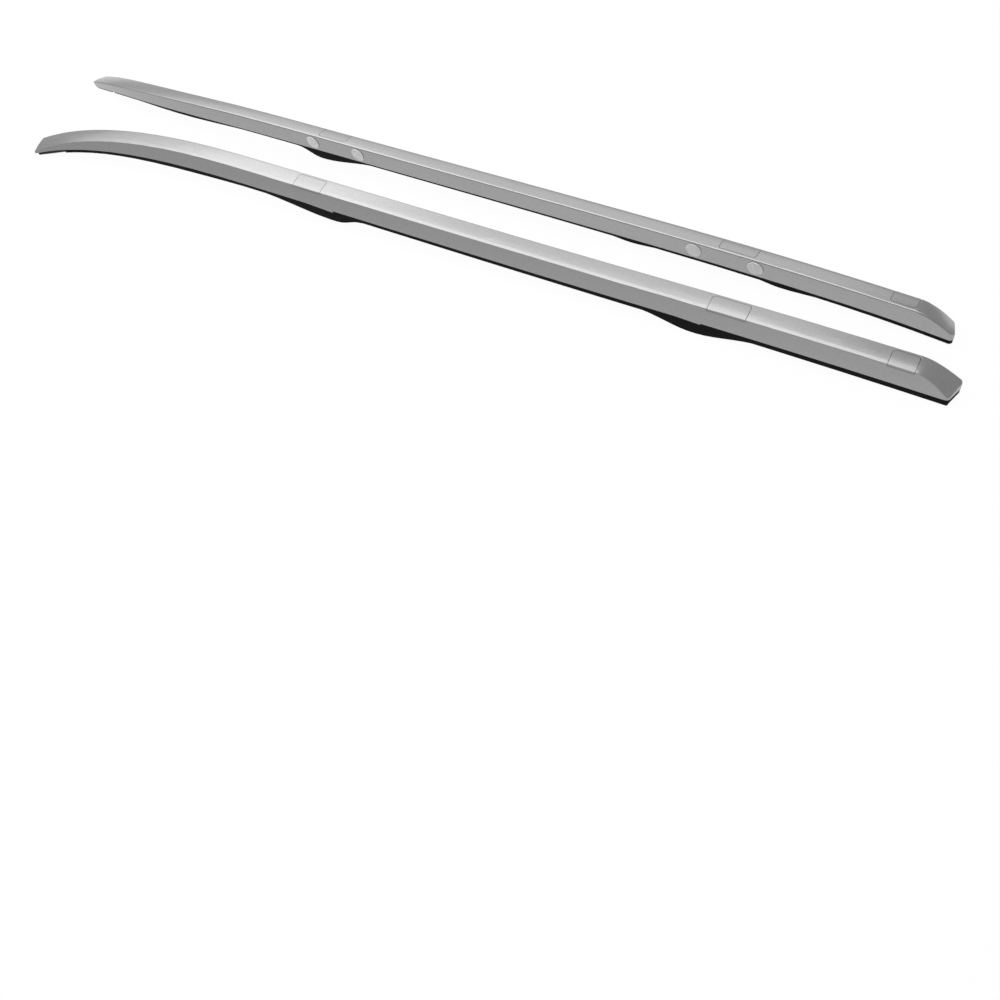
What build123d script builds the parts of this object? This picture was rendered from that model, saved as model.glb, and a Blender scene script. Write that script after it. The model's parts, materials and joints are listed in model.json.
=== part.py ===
from build123d import *
from math import atan2, cos, pi, tan
import os

os.makedirs("parts", exist_ok=True)

# Pair of roof side rails lying side by side, front ends at -X. The right rail (+Y) is built and the
# left one is its mirror image. Lengths in millimetres. "out" is the distance outboard of the rail's
# inner top edge at mid length.

# how the two rails lie
HALF_GAP = 44.0
STAGGER = 35.0

# rail section: crowned top rounded about a ridge, falling to the outer crease, and leaning sides
TOP_WIDTH = 28.8
RIDGE = 0.5 * TOP_WIDTH
CROWN_REACH = 0.7 * RIDGE
CREASE = 3.9
SIDE_HEIGHT = 31.8
INNER_LEAN = 3.2
OUTER_LEAN = 4.8
CREASE_RADIUS = 1.6
INNER_EDGE_RADIUS = 2.0
WALL = 2.2
SLOT_WIDTH = 13.0

# run of the rail: a flat arch, swept down and outboard at the front, toed in at the rear
RAIL_LENGTH = 1717.0
FRONT_END = -857.5
REAR_END = FRONT_END + RAIL_LENGTH
CROWN = 62.0
FALL = 0.0174
FRONT_BEND = -346.0
FRONT_RUN = 500.0
FRONT_FLARE = 41.0
FRONT_DROOP = 45.2
TIP_CURL = 12.1
TIP_THINNING = 0.581
TIP_WIDENING = 5.2
TIP_ROLL = 7.0
TIP_CORNER = 3.0
REAR_BEND = 454.0
REAR_RUN = 400.0
REAR_DROOP = 9.3
TOE_IN_START = 104.0
TOE_IN_RUN = 750.0
TOE_IN = 8.7

# sloping nose at the rear, its end slanted and its foot flared inboard
NOSE_LENGTH = 57.5
NOSE_DROP = 24.0
NOSE_TILT = 2.0
NOSE_CURVE = 1.7
NOSE_SLANT = 10.0
NOSE_FLARE = 4.0
FLARE_RUN = 160.0
NOSE_CORNER = 6.0
NOSE_START = REAR_END - NOSE_LENGTH

# lids in the top face
FOOT_COVER = 56.5
FRONT_COVER_X = -201.0
REAR_COVER_X = 540.5
END_COVER = 37.0
END_COVER_X = NOSE_START - END_COVER / 2
COVER_MARGIN = 5.0
COVER_WRAP = CREASE + 2.8
COVER_CORNER = 4.0
SEAM = 0.6
LEG = (2.0, 6.5, 12.0)
LEG_INSET = 12.0

# round plugs in the inner side
PLUG = 24.5
PLUG_STEM = 20.0
PLUG_PROUD = 1.1
PLUG_SPACING = 97.0
FRONT_FOOT = -195.7
REAR_FOOT = 522.5
GAP = 0.3

# fixings
PLATE = 3.0
TAB = (26.0, 0.6 * SIDE_HEIGHT)
TAB_DEPTH = 6.5
INSERT_RADIUS = 4.5
INSERT_FLANGE = 6.5
INSERT_LENGTH = 9.0
INSERT_BORE = 2.5
BOLT_RADIUS = 4.0
BOLT_NECK = 3.5
BOLT_THREAD = 10.0
BOLT_HEAD = 7.5
BOLT_HEAD_HEIGHT = 5.5
BOLT_CLEARANCE = 0.5
FOOT_BOLT_REACH = 18.0
END_BOLT_REACH = 6.0
WASHER_RADIUS = 8.5
WASHER = 1.6
FOOT_BRACKET = PLUG_SPACING + TAB[0] + 11.0
END_BRACKET = 30.0
BRACKET_SLACK = 1.5
PEGS = (-520.0, -400.0, -101.0)
PEG_RADIUS = 4.0
PEG_HEAD = 8.0
PEG_REACH = 11.0

# bracket and clip under the thin end
TIP_PLATE = (70.0, 30.0, 2.5)
TIP_PLATE_X = FRONT_END + TIP_PLATE[0] / 2 + 2.0
TIP_GAP = 0.8
TIP_LUG = 1.5
TIP_HOLE = 4.0
TIP_HOLE_X = -20.0
TIP_SCREW_X = 8.0
TIP_SCREW = 2.5
TIP_SCREW_DEPTH = 6.0
CLIP = (14.0, 11.0, 2.2)
CLIP_X = 21.0
CAVITY_FRONT = TIP_PLATE_X + TIP_PLATE[0] / 2 + 4.0
CAVITY_REAR = NOSE_START + 1.0

# rubber strip under the rail, thicker to the rear: depth at its front end and at the nose
GASKET_OUTER = (6.4, 9.8)
GASKET_INNER = (2.5, 7.0)
GASKET_INSET = 0.5
LIP = 4.0
# lobes of the strip: middle, depth below the strip, run-out to the front, run-out to the rear
OUTER_LOBES = ((-470.0, 3.2, 300.0, 180.0), (-153.0, 15.5, 170.0, 66.0), (492.0, 15.5, 90.0, 104.0))
INNER_LOBES = (
    (-560.0, 4.0, 190.0, 190.0),
    (-235.0, 14.5, 56.0, 126.0),
    (369.0, 3.6, 46.0, 56.0),
    (609.0, 4.2, 44.0, 74.0),
)
# small drops of the silver edge at the feet: front end, step, depth
SKIRTS = ((-221.0, -152.0, 3.4), (453.0, 504.0, 2.4))
SKIRT_WALL = 1.4


def sweep(x):
    return max(0.0, FRONT_BEND - x) / FRONT_RUN


def inner_edge(x):
    return FRONT_FLARE * sweep(x) ** 3 - TOE_IN * (max(0.0, x - TOE_IN_START) / TOE_IN_RUN) ** 2


def top_line(x):
    front = FRONT_DROOP * sweep(x) ** 2 + TIP_CURL * sweep(x) ** 6
    rear = REAR_DROOP * (max(0.0, x - REAR_BEND) / REAR_RUN) ** 2
    return CROWN - FALL * x - front - rear


def side_height(x):
    return SIDE_HEIGHT * (1 - TIP_THINNING * sweep(x) ** 2)


def base_line(x):
    return top_line(x) - side_height(x)


def inner_lean(x):
    flare = max(0.0, 1 - (REAR_END - x) / FLARE_RUN)
    return INNER_LEAN - NOSE_FLARE * flare ** 2


def inner_face(x, z):
    return inner_edge(x) + inner_lean(x) * (top_line(x) - z) / SIDE_HEIGHT


def outer_face(x, z):
    width = TOP_WIDTH + TIP_WIDENING * sweep(x) ** 2
    below_crease = top_line(x) - CREASE - z
    return inner_edge(x) + width + OUTER_LEAN * below_crease / (SIDE_HEIGHT - CREASE)


def middle(x):
    return (inner_face(x, base_line(x)) + outer_face(x, base_line(x))) / 2


def steps(start, end, count):
    return [start + (end - start) * i / count for i in range(count + 1)]


def section(x, corners, radii=()):
    # closed outline through (out, z) corners, the first ones rounded by the radii
    points = [(x, HALF_GAP + out, z) for out, z in corners]
    face = make_face(Polyline(*points, close=True)).face()
    for point, radius in zip(points, radii):
        corner = [v for v in face.vertices() if (Vector(*v) - Vector(*point)).length < 0.001]
        face = face.fillet_2d(radius, corner)
    return face


def skin(x, inset=0.0, floor=0.0, drop=0.0, tilt=0.0):
    # outline of the rail, shrunk by inset; drop and tilt lower its top along the nose
    top, bottom = top_line(x) - inset - drop, base_line(x) + floor
    fall = min(CREASE + TIP_ROLL * sweep(x) ** 8, 0.8 * (top - bottom))
    crease = max(top - tilt - fall, bottom + 1.2)
    width = outer_face(x, crease) - inner_edge(x)
    ridge = top - (top - crease) * RIDGE / width + CREASE * RIDGE / TOP_WIDTH
    inner, peak, outer = inner_face(x, top) + inset, inner_edge(x) + RIDGE, outer_face(x, crease) - inset
    turn = atan2(ridge - crease, outer - peak) - atan2(top - ridge, peak - inner)
    corners = [
        (inner, top),
        (peak, ridge),
        (outer, crease),
        (outer_face(x, bottom) - inset, bottom),
        (inner_face(x, bottom) + inset, bottom),
    ]
    inner_radius = min(max(INNER_EDGE_RADIUS - inset, 0.5), 0.4 * (top - bottom))
    crease_radius = min(max(CREASE_RADIUS - inset, 0.5), 0.4 * (crease - bottom))
    return section(x, corners, (inner_radius, (CROWN_REACH - inset) / tan(turn / 2), crease_radius))


def strip(x, inner, outer, top, inner_bottom, outer_bottom):
    return section(x, [(inner, top), (outer, top), (outer, outer_bottom), (inner, inner_bottom)])


def run_steps(start, end):
    front = steps(start, FRONT_BEND, 7)
    return front + steps(FRONT_BEND, REAR_BEND, 5)[1:] + steps(REAR_BEND, end, 5)[1:]


def frame(x, out, z, line=top_line):
    # local frame: x along the rail to the rear, y outboard, z up
    along = Vector(2, inner_edge(x + 1) - inner_edge(x - 1), line(x + 1) - line(x - 1)).normalized()
    up = (Vector(0, 0, 1) - along * along.Z).normalized()
    return Plane(origin=(x, HALF_GAP + out, z), x_dir=along, z_dir=up)


def floor_frame(x):
    # on top of the two flanges inside the hollow, over the middle of the slot
    return frame(x, middle(x), base_line(x) + WALL, base_line)


def side_frame(x):
    # on the inner side at half height, z pointing out of the side
    half = top_line(x) - side_height(x) / 2
    along = frame(x, 0, 0).x_dir
    down = Vector(0, inner_lean(x), -SIDE_HEIGHT).normalized()
    return Plane(origin=(x, HALF_GAP + inner_face(x, half), half), x_dir=along, z_dir=down.cross(along))


def corner_trim(end, slant, inner, inset, radius):
    # what a rounded corner takes off a slanted end, cut along the lean of the inner or outer side
    base = base_line(end)
    line = inner_face if inner else outer_face
    lean = Vector(0, -inner_lean(end), SIDE_HEIGHT)
    if not inner:
        lean = Vector(0, -OUTER_LEAN, SIDE_HEIGHT - CREASE)
    inward = 1 if inner else -1
    slope = slant / (outer_face(end, base) - inner_face(end, base))
    near_end = end - 40 if end > 0 else end + 40
    low = lambda x: HALF_GAP + line(x, base_line(x)) + inward * inset
    edge = lambda y: end - slope * (y - HALF_GAP - inner_face(end, base))
    side, far = low(end), low(end) + inward * 60
    points = [(near_end, low(near_end)), (edge(side), side), (edge(far), far), (near_end, far)]
    plan = make_face(Polyline(*points, close=True)).face()
    corner = [v for v in plan.vertices() if abs(v.X - edge(side)) < 0.001 and abs(v.Y - side) < 0.001]
    keep = extrude(Pos(0, 0, base) * plan.fillet_2d(radius, corner), 60, dir=lean, both=True)
    return Pos(end, side, base) * Box(2 * (radius + slant), 2 * radius + 50, 100) - keep


def opening(x, length, grow):
    # room of a lid: rounded at the inner side, running out over the soft outer edge
    width = TOP_WIDTH + 10
    block = Box(length + 2 * grow, width, COVER_WRAP + grow + 5, align=(Align.CENTER, Align.MIN, Align.MAX))
    block = fillet(block.edges().filter_by(Axis.Z).group_by(Axis.Y)[0], COVER_CORNER + grow)
    return frame(x, inner_edge(x) + COVER_MARGIN - grow, top_line(x) + 5) * block


def plug_positions():
    return [foot + side * PLUG_SPACING / 2 for foot in (FRONT_FOOT, REAR_FOOT) for side in (-1, 1)]


def wave(x, lobe):
    centre, depth, ahead, behind = lobe
    part = (x - centre) / (ahead if x < centre else behind)
    return 0.5 * depth * (1 + cos(pi * part))


def strip_depth(x, depths):
    front, rear = depths
    return front + (rear - front) * ((x - CAVITY_FRONT) / (REAR_END - CAVITY_FRONT)) ** 2


def lip_lobe(lobe, depths, inner, outer):
    # hanging wave of one lip, its ends buried in the strip
    centre, depth, ahead, behind = lobe
    sections = []
    for x in steps(centre - ahead, centre + behind, 12):
        bottom = base_line(x) - strip_depth(x, depths) + 0.6 - wave(x, lobe)
        sections.append(strip(x, inner(x), outer(x), base_line(x) - 1.5, bottom, bottom))
    return loft(sections)


def skirt(span, thickness, outside, grow):
    start, step, depth = span
    sections = []
    for x in steps(start - grow, step + grow, 3):
        face = outer_face(x, base_line(x))
        bottom = base_line(x) + 0.5 - (depth + 0.5) * (x - start) / (step - start) - grow
        sections.append(strip(x, face - thickness, face - outside, base_line(x) + 1.5, bottom, bottom))
    return loft(sections)


def make_rail():
    body = loft([skin(x) for x in run_steps(FRONT_END, NOSE_START)])
    nose_sections = []
    for x in steps(NOSE_START, REAR_END, 5):
        inner = NOSE_DROP * ((x - NOSE_START) / NOSE_LENGTH) ** NOSE_CURVE
        outer_part = (x - NOSE_START) / (NOSE_LENGTH - NOSE_SLANT)
        outer = (NOSE_DROP + NOSE_TILT) * outer_part ** NOSE_CURVE
        nose_sections.append(skin(x, drop=inner, tilt=outer - inner))
    whole = body + loft(nose_sections)
    for inner in (True, False):
        whole -= corner_trim(FRONT_END, 0, inner, -0.15, TIP_CORNER)
        whole -= corner_trim(REAR_END, NOSE_SLANT, inner, -0.15, NOSE_CORNER)
    whole -= loft([skin(x, WALL, WALL) for x in run_steps(CAVITY_FRONT, CAVITY_REAR)])
    return whole


def cut_rail(whole):
    slot = []
    for x in run_steps(CAVITY_FRONT + 4, CAVITY_REAR - 4):
        inner, outer = middle(x) - SLOT_WIDTH / 2, middle(x) + SLOT_WIDTH / 2
        floor, under = base_line(x) + WALL + 1, base_line(x) - 1
        slot.append(strip(x, inner, outer, floor, under, under))
    rail = whole - loft(slot)
    for x, length in COVERS.values():
        rail -= opening(x, length, SEAM)
    for x in plug_positions():
        rail -= side_frame(x) * Cylinder(PLUG_STEM / 2 + GAP, 4 * WALL)
    for span in SKIRTS:
        rail += skirt(span, SKIRT_WALL, 0.1, 0)
    screw = Cylinder(TIP_SCREW + 0.1, TIP_SCREW_DEPTH + 0.5, align=(Align.CENTER, Align.CENTER, Align.MIN))
    return rail - tip_frame() * Pos(TIP_SCREW_X, 0, -0.5) * screw


def make_cover(x, length):
    wall = skin(x) - skin(x, WALL, WALL)
    lid = extrude(wall, length, dir=frame(x, 0, 0).x_dir, both=True) & opening(x, length, 0)
    leg = Box(*LEG, align=(Align.CENTER, Align.CENTER, Align.MAX))
    across = COVER_MARGIN + (TOP_WIDTH - COVER_MARGIN) / 2
    seat = frame(x, inner_edge(x) + across, top_line(x) - WALL)
    for side in (-1, 1):
        lid += seat * Pos(side * (length / 2 - LEG_INSET), 0, 0) * leg
    return lid


def make_plugs():
    flange = Pos(0, 0, GAP) * Cylinder(PLUG / 2, PLUG_PROUD, align=(Align.CENTER, Align.CENTER, Align.MIN))
    flange = chamfer(flange.edges().group_by(Axis.Z)[-1], PLUG_PROUD / 2)
    stem_depth = WALL + 1.6
    stem = Pos(0, 0, -stem_depth) * Cylinder(
        PLUG_STEM / 2, stem_depth + GAP, align=(Align.CENTER, Align.CENTER, Align.MIN)
    )
    plug = flange + stem
    return [side_frame(x) * plug for x in plug_positions()]


def bracket_plate(x, length, bolt_x):
    width = outer_face(x, base_line(x)) - inner_face(x, base_line(x)) - 2 * WALL - 2 * BRACKET_SLACK
    plate = Pos(0, 0, GAP) * Box(length, width, PLATE, align=(Align.CENTER, Align.CENTER, Align.MIN))
    hole = Pos(bolt_x - x, 0, 0) * Cylinder(BOLT_RADIUS + BOLT_CLEARANCE, 4 * PLATE)
    return floor_frame(x) * (plate - hole)


def make_foot_bracket(x, bolt_x):
    bracket = bracket_plate(x, FOOT_BRACKET, bolt_x)
    drop = side_height(x) / 2 - WALL - GAP - PLATE / 2
    tab = Box(TAB[0], TAB[1], PLATE, align=(Align.CENTER, Align.MIN, Align.MAX))
    hole = Cylinder(INSERT_RADIUS + 0.1, 4 * PLATE)
    for side in (-1, 1):
        spot = side_frame(x) * Pos(side * PLUG_SPACING / 2, 0, -TAB_DEPTH)
        bracket += spot * Pos(0, -drop, 0) * tab
        bracket -= spot * hole
    return bracket


def make_inserts(x):
    sleeve = Pos(0, 0, 1.2) * Cylinder(
        INSERT_RADIUS, INSERT_LENGTH + 1.2, align=(Align.CENTER, Align.CENTER, Align.MAX)
    )
    sleeve += Cylinder(INSERT_FLANGE, 1.2, align=(Align.CENTER, Align.CENTER, Align.MIN))
    sleeve -= Cylinder(INSERT_BORE, 4 * INSERT_LENGTH)
    return [side_frame(x) * Pos(side * PLUG_SPACING / 2, 0, -TAB_DEPTH) * sleeve for side in (-1, 1)]


def bolt_seat(x, bolt_x):
    return floor_frame(x) * Pos(bolt_x - x, 0, GAP + PLATE)


def make_bolt(x, bolt_x, reach):
    # captive bolt: hexagon head, thin neck, threaded end
    head = Pos(0, 0, WASHER) * extrude(RegularPolygon(BOLT_HEAD, 6), BOLT_HEAD_HEIGHT)
    end = -(PLATE + GAP + WALL + reach)
    neck = Cylinder(BOLT_NECK, WASHER - end - 1, align=(Align.CENTER, Align.CENTER, Align.MIN))
    thread = Cylinder(BOLT_RADIUS, BOLT_THREAD, align=(Align.CENTER, Align.CENTER, Align.MIN))
    thread = chamfer(thread.edges().group_by(Axis.Z)[0], 0.8)
    bolt = head + Pos(0, 0, end) * (thread + Pos(0, 0, 1) * neck)
    return bolt_seat(x, bolt_x) * bolt


def make_washer(x, bolt_x):
    ring = Cylinder(WASHER_RADIUS, WASHER, align=(Align.CENTER, Align.CENTER, Align.MIN))
    ring -= Cylinder(BOLT_RADIUS + 0.3, 4 * WASHER)
    return bolt_seat(x, bolt_x) * ring


def make_peg(x):
    stem = WALL + PEG_REACH - 5
    peg = Pos(0, 0, GAP) * Cylinder(PEG_HEAD, 2, align=(Align.CENTER, Align.CENTER, Align.MIN))
    peg += Pos(0, 0, GAP) * Cylinder(PEG_RADIUS, stem + GAP, align=(Align.CENTER, Align.CENTER, Align.MAX))
    peg += Pos(0, 0, -stem) * Cone(1.2, PEG_RADIUS, 5, align=(Align.CENTER, Align.CENTER, Align.MAX))
    return floor_frame(x) * peg


def make_gasket():
    sections = []
    for x in run_steps(CAVITY_FRONT, REAR_END - GASKET_INSET):
        base = base_line(x)
        inner, outer = inner_face(x, base) + GASKET_INSET, outer_face(x, base) - GASKET_INSET
        inner_bottom = base - strip_depth(x, GASKET_INNER)
        outer_bottom = base - strip_depth(x, GASKET_OUTER)
        sections.append(strip(x, inner, outer, base - GAP, inner_bottom, outer_bottom))
    gasket = loft(sections)
    for inner in (True, False):
        gasket -= corner_trim(REAR_END - GASKET_INSET, NOSE_SLANT, inner, GASKET_INSET - 0.15, NOSE_CORNER)
    inner = lambda x: inner_face(x, base_line(x)) + GASKET_INSET + 0.1
    outer = lambda x: outer_face(x, base_line(x)) - GASKET_INSET - 0.1
    for lobe in OUTER_LOBES:
        gasket += lip_lobe(lobe, GASKET_OUTER, lambda x: outer(x) - LIP, outer)
    for lobe in INNER_LOBES:
        gasket += lip_lobe(lobe, GASKET_INNER, inner, lambda x: inner(x) + LIP)
    for span in SKIRTS:
        gasket -= skirt(span, SKIRT_WALL + GAP, -2, GAP)
    for foot, bolt_x, reach in BOLTS:
        gasket -= bolt_seat(foot, bolt_x) * Cylinder(BOLT_RADIUS + BOLT_CLEARANCE, 80)
    for x in PEGS:
        gasket -= floor_frame(x) * Cylinder(PEG_RADIUS + GAP, 40)
    return gasket


def tip_frame():
    # on the underside of the thin end, z up into the rail
    x, half = TIP_PLATE_X, TIP_PLATE[0] / 2
    sag = base_line(x) - (base_line(x - half) + base_line(x + half)) / 2
    return frame(x, middle(x), base_line(x) - sag - TIP_GAP, base_line)


def make_tip_bracket():
    length, width, thick = TIP_PLATE
    plate = Box(*TIP_PLATE, align=(Align.CENTER, Align.CENTER, Align.MAX))
    lug = Box(length, thick, thick + TIP_LUG, align=(Align.CENTER, Align.MAX, Align.MAX))
    bracket = plate + Pos(0, width / 2, 0) * lug
    bracket = fillet(plate_corners(bracket, width), 4)
    bracket -= Pos(TIP_HOLE_X, 0, 0) * Cylinder(TIP_HOLE, 6 * thick)
    bracket -= Pos(TIP_SCREW_X, 0, 0) * Cylinder(TIP_SCREW + 0.3, 6 * thick)
    return tip_frame() * bracket


def plate_corners(bracket, width):
    upright = bracket.edges().filter_by(Axis.Z)
    return [edge for edge in upright if edge.center().Y < -width / 2 + 0.1]


def make_tip_screw():
    thick = TIP_PLATE[2]
    head = Pos(0, 0, -thick) * Cylinder(4.2, 2.0, align=(Align.CENTER, Align.CENTER, Align.MAX))
    head = chamfer(head.edges().group_by(Axis.Z)[0], 0.8)
    shank = Pos(0, 0, -thick) * Cylinder(
        TIP_SCREW, thick + TIP_SCREW_DEPTH - 0.5, align=(Align.CENTER, Align.CENTER, Align.MIN)
    )
    return tip_frame() * Pos(TIP_SCREW_X, 0, 0) * (head + shank)


def make_tip_clip():
    length, width, thick = CLIP
    body = Box(*CLIP, align=(Align.CENTER, Align.CENTER, Align.MAX))
    tooth = Polyline((-length / 2, 0), (-length / 2 + 4, 0), (-length / 2, -2.6), close=True)
    tooth = extrude(make_face(Plane.XZ * tooth), width / 2, both=True)
    body += Pos(0, 0, -thick) * tooth + Pos(length / 2, 0, -thick) * tooth
    return tip_frame() * Pos(CLIP_X, -2, -TIP_PLATE[2]) * body


COVERS = {
    "front_foot_cover": (FRONT_COVER_X, FOOT_COVER),
    "rear_foot_cover": (REAR_COVER_X, FOOT_COVER),
    "rear_end_cover": (END_COVER_X - SEAM, END_COVER - 2 * SEAM),
}
BOLTS = (
    (FRONT_FOOT, FRONT_COVER_X, FOOT_BOLT_REACH),
    (REAR_FOOT, REAR_COVER_X, FOOT_BOLT_REACH),
    (END_COVER_X, END_COVER_X, END_BOLT_REACH),
)

whole = make_rail()
nodes = {"rail": [cut_rail(whole)]}
for name, (x, length) in COVERS.items():
    nodes[name] = [make_cover(x, length)]
nodes["side_plugs"] = make_plugs()
nodes["base_gasket"] = [make_gasket()]
nodes["front_foot_bracket"] = [make_foot_bracket(FRONT_FOOT, FRONT_COVER_X)]
nodes["rear_foot_bracket"] = [make_foot_bracket(REAR_FOOT, REAR_COVER_X)]
nodes["rear_end_bracket"] = [bracket_plate(END_COVER_X, END_BRACKET, END_COVER_X)]
nodes["crossbar_inserts"] = make_inserts(FRONT_FOOT) + make_inserts(REAR_FOOT)
nodes["mounting_bolts"] = [make_bolt(*bolt) for bolt in BOLTS]
nodes["bolt_washers"] = [make_washer(foot, bolt_x) for foot, bolt_x, reach in BOLTS]
nodes["locating_pegs"] = [make_peg(x) for x in PEGS]
nodes["tip_bracket"] = [make_tip_bracket()]
nodes["tip_screw"] = [make_tip_screw()]
nodes["tip_clip"] = [make_tip_clip()]

# the pair stands on its lowest points, with the middle of its length at the origin
centre = (FRONT_END + REAR_END) / 2
lowest = min(piece.bounding_box().min.Z for pieces in nodes.values() for piece in pieces)
for name, pieces in nodes.items():
    solids = [solid for piece in pieces for solid in piece.solids()]
    right = Pos(-STAGGER / 2 - centre, 0, -lowest) * Compound(children=solids)
    left = Pos(STAGGER / 2 - centre, 0, -lowest) * mirror(Compound(children=solids), Plane.XZ)
    export_step(right, f"parts/right_{name}.step")
    export_step(left, f"parts/left_{name}.step")
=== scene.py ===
import bpy
import json
from math import radians
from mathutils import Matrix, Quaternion, Vector

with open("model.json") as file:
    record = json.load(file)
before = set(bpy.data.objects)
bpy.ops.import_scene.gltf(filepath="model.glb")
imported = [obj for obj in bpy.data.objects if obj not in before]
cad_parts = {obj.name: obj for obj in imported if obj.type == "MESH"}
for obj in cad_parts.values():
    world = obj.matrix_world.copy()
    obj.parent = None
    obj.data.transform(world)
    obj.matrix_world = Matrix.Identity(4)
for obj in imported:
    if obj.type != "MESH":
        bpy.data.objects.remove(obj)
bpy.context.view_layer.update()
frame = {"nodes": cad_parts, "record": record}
scene = bpy.context.scene
scene.view_settings.view_transform = "Standard"

# Lengths in metres, in the frame of the solids: +X to the rear, +Y to the right rail, +Z up.

# camera: above the near rail's rear end, looking along the pair, rolled clockwise
EYE = Vector((0.9863, -1.0764, 1.1450))
AIM = Vector((0.4248, -0.4678, 0.0400))
ROLL = 14.63
LENS = 38.88
SENSOR = 36.0

# silver paint: grey level, size and depth of its flakes
SILVER = 0.34
FLAKE = 700.0
FLAKE_DEPTH = 0.000004

# floor: white to the camera; in the metal it darkens toward the near front corner, a painted shade
# that stands in for the rail's shadow and darkens the near rail's side
FLOOR_SIZE = 80.0
FLOOR_DROP = 0.0005
FLOOR_PAPER = 0.8
FLOOR_WHITE = 0.96
PAINTED_SHADE_DIRECTION = (0.1, 1.0, 0.0)
PAINTED_SHADE_START = -0.27
PAINTED_SHADE_END = 0.02
MIRRORED_PAINTED_SHADE = 0.62
MIRRORED_BRIGHT = 1.0

# evenly pale room, and the soft lamps at its ceiling: x span, y span, height, brightness
ROOM = 0.52
CEILING = 1.4
HANGING = CEILING - 0.05
LAMPS = {
    "overhead": ((-1.9, 1.0), (-1.1, 0.3), CEILING, 1.75),
    "overhead_near": ((-1.9, 1.0), (-2.2, -1.1), CEILING, 0.9),
    "overhead_front": ((-2.9, -1.9), (-1.1, 0.3), CEILING, 1.4),
    "beside": ((-3.6, 0.6), (0.3, 4.2), CEILING, 0.62),
    "beside_front": ((-1.95, -0.95), (0.3, 1.3), HANGING, 0.8),
}


def new_material(name):
    material = bpy.data.materials.new(name)
    material.use_nodes = True
    shader = material.node_tree.nodes["Principled BSDF"]
    return material, shader


def set_values(shader, **values):
    for name, value in values.items():
        shader.inputs[name.replace("_", " ")].default_value = value


def add_node(material, kind, operation=None, **inputs):
    node = material.node_tree.nodes.new(kind)
    if operation:
        node.operation = operation
    for name, value in inputs.items():
        node.inputs[name].default_value = value
    return node


def join(material, source, target):
    material.node_tree.links.new(source, target)


def noise(material, scale, detail=2.0, stretch=(1.0, 1.0, 1.0)):
    # fine pattern fixed to the piece, in metres
    place = add_node(material, "ShaderNodeTexCoord")
    mapping = add_node(material, "ShaderNodeMapping", Scale=stretch)
    texture = add_node(material, "ShaderNodeTexNoise", Scale=scale, Detail=detail)
    join(material, place.outputs["Object"], mapping.inputs["Vector"])
    join(material, mapping.outputs["Vector"], texture.inputs["Vector"])
    return texture.outputs["Fac"]


def spread(material, value, low, high, start=0.3, end=0.7):
    # the default start and end take in most of a noise's range
    limits = {"From Min": start, "From Max": end, "To Min": low, "To Max": high}
    ramp = add_node(material, "ShaderNodeMapRange", **limits)
    join(material, value, ramp.inputs["Value"])
    return ramp.outputs["Result"]


def tint(material, shader, value, dark, light):
    mix = add_node(material, "ShaderNodeMix")
    mix.data_type = "RGBA"
    mix.inputs["A"].default_value = (*dark, 1.0)
    mix.inputs["B"].default_value = (*light, 1.0)
    join(material, spread(material, value, 0.0, 1.0), mix.inputs["Factor"])
    join(material, mix.outputs["Result"], shader.inputs["Base Color"])


def roughen(material, shader, value, middle, swing):
    roughness = spread(material, value, middle - swing, middle + swing)
    join(material, roughness, shader.inputs["Roughness"])


def bump(material, shader, value, height):
    node = add_node(material, "ShaderNodeBump", Strength=1.0, Distance=height)
    join(material, value, node.inputs["Height"])
    join(material, node.outputs["Normal"], shader.inputs["Normal"])


def grey(level):
    return (level, level, level * 1.005)


def silver_paint(name, level, roughness):
    material, shader = new_material(name)
    cloud = noise(material, 14.0, 3.0, (0.25, 1.0, 1.0))
    tint(material, shader, noise(material, FLAKE, 3.0), grey(level * 0.9), grey(level * 1.1))
    roughen(material, shader, cloud, roughness, 0.03)
    bump(material, shader, noise(material, FLAKE), FLAKE_DEPTH)
    set_values(shader, Metallic=0.9, Coat_Weight=0.2, Coat_Roughness=0.15)
    return material


def plastic(name, level, roughness, grain, shine=0.5):
    material, shader = new_material(name)
    speck = noise(material, 1500.0)
    tint(material, shader, speck, grey(level * 0.9), grey(level * 1.1))
    roughen(material, shader, noise(material, 90.0), roughness, 0.05)
    bump(material, shader, speck, grain)
    set_values(shader, Specular_IOR_Level=shine)
    return material


def plated_steel(name):
    material, shader = new_material(name)
    cloud = noise(material, 60.0, 4.0)
    tint(material, shader, cloud, (0.45, 0.45, 0.42), (0.58, 0.58, 0.56))
    roughen(material, shader, noise(material, 400.0), 0.35, 0.07)
    bump(material, shader, noise(material, 900.0), 0.00001)
    set_values(shader, Metallic=1.0)
    return material


finishes = {
    "silver_rail": silver_paint("rail_paint", SILVER, 0.3),
    "silver_cover": silver_paint("lid_paint", SILVER * 0.97, 0.32),
    "plug_plastic": plastic("plug_plastic", 0.58, 0.45, 0.000006),
    "black_rubber": plastic("strip_rubber", 0.003, 0.55, 0.00002, 0.06),
    "black_plastic": plastic("clip_plastic", 0.006, 0.5, 0.00001, 0.12),
    "black_steel": plastic("bracket_coating", 0.008, 0.45, 0.00001, 0.2),
    "zinc_steel": plated_steel("plated_steel"),
}
for part in frame["record"]["subparts"]:
    mesh = frame["nodes"][part["node"]].data
    mesh.materials.clear()
    mesh.materials.append(finishes[part["material_slot"]])


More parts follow.
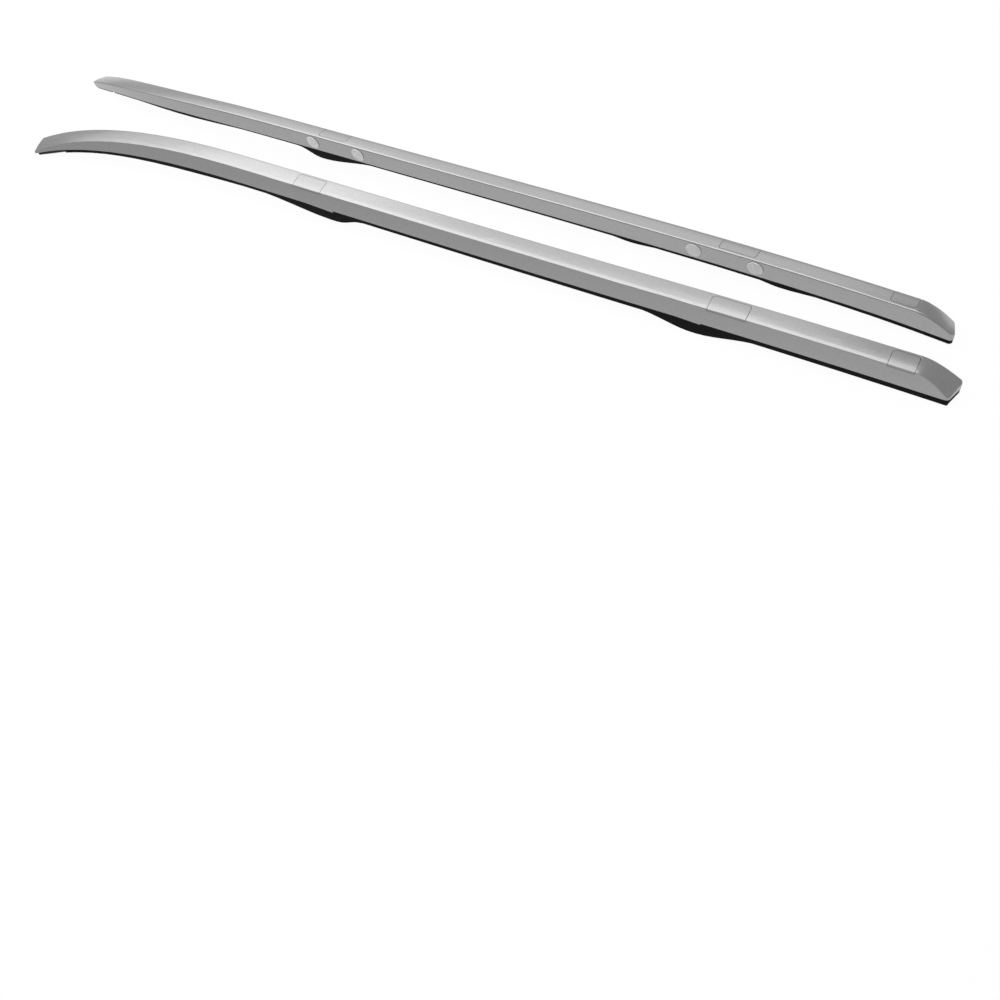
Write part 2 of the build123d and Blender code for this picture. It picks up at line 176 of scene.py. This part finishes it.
def floor_paper():
    # glows for the camera and in mirrors, and shows a trace of its shading, so soft shadows stay; in
    # mirrors its glow carries a painted shade toward the near front corner
    material, shader = new_material("floor_paper")
    set_values(shader, Base_Color=(FLOOR_PAPER, FLOOR_PAPER, FLOOR_PAPER, 1.0), Roughness=0.9)
    ray = add_node(material, "ShaderNodeLightPath").outputs

    place = add_node(material, "ShaderNodeNewGeometry")
    along = add_node(material, "ShaderNodeVectorMath", "DOT_PRODUCT")
    along.inputs[1].default_value = PAINTED_SHADE_DIRECTION
    join(material, place.outputs["Position"], along.inputs[0])
    distance = along.outputs["Value"]
    # painted shade: the glow seen in the metal darkens toward the near front corner, standing in for
    # the rail's shadow on the floor
    painted_shade_level = spread(material, distance, MIRRORED_PAINTED_SHADE, MIRRORED_BRIGHT, PAINTED_SHADE_START, PAINTED_SHADE_END)
    level = add_node(material, "ShaderNodeMix", B=1.0)
    join(material, ray["Is Camera Ray"], level.inputs["Factor"])
    join(material, painted_shade_level, level.inputs["A"])
    glow = add_node(material, "ShaderNodeEmission")
    join(material, level.outputs["Result"], glow.inputs["Strength"])

    direct = add_node(material, "ShaderNodeMath", "MAXIMUM")
    join(material, ray["Is Camera Ray"], direct.inputs[0])
    join(material, ray["Is Glossy Ray"], direct.inputs[1])
    seen = add_node(material, "ShaderNodeMath", "MAXIMUM")
    join(material, direct.outputs["Value"], seen.inputs[0])
    join(material, ray["Is Transmission Ray"], seen.inputs[1])
    share = add_node(material, "ShaderNodeMath", "MULTIPLY")
    share.inputs[1].default_value = FLOOR_WHITE
    join(material, seen.outputs["Value"], share.inputs[0])

    mix = add_node(material, "ShaderNodeMixShader")
    join(material, share.outputs["Value"], mix.inputs["Fac"])
    join(material, shader.outputs["BSDF"], mix.inputs[1])
    join(material, glow.outputs["Emission"], mix.inputs[2])
    output = material.node_tree.nodes["Material Output"]
    join(material, mix.outputs["Shader"], output.inputs["Surface"])
    return material


bpy.ops.mesh.primitive_plane_add(size=FLOOR_SIZE, location=(0.0, 0.0, -FLOOR_DROP))
floor = bpy.context.object
floor.name = "floor"
floor.data.materials.append(floor_paper())

world = bpy.data.worlds.new("room")
scene.world = world
world.use_nodes = True
set_values(world.node_tree.nodes["Background"], Color=(ROOM, ROOM, ROOM, 1.0))


def soft_lamp(name, x_span, y_span, height, brightness):
    # level rectangle facing down, with power in step with its area
    data = bpy.data.lights.new(name, "AREA")
    data.shape = "RECTANGLE"
    data.size = x_span[1] - x_span[0]
    data.size_y = y_span[1] - y_span[0]
    data.energy = 4.0 * data.size * data.size_y * brightness
    lamp = bpy.data.objects.new(name, data)
    lamp.location = (sum(x_span) / 2, sum(y_span) / 2, height)
    scene.collection.objects.link(lamp)


# the creases mirror the lamps overhead, the tops those beside; the front foot mirrors the hanging one
for name, values in LAMPS.items():
    soft_lamp(name, *values)

camera_data = bpy.data.cameras.new("camera")
camera_data.lens = LENS
camera_data.sensor_width = SENSOR
camera = bpy.data.objects.new("camera", camera_data)
camera.location = EYE
camera.rotation_mode = "QUATERNION"
turn = Quaternion((0.0, 0.0, 1.0), -radians(ROLL))
camera.rotation_quaternion = (AIM - EYE).to_track_quat("-Z", "Y") @ turn
scene.collection.objects.link(camera)
scene.camera = camera
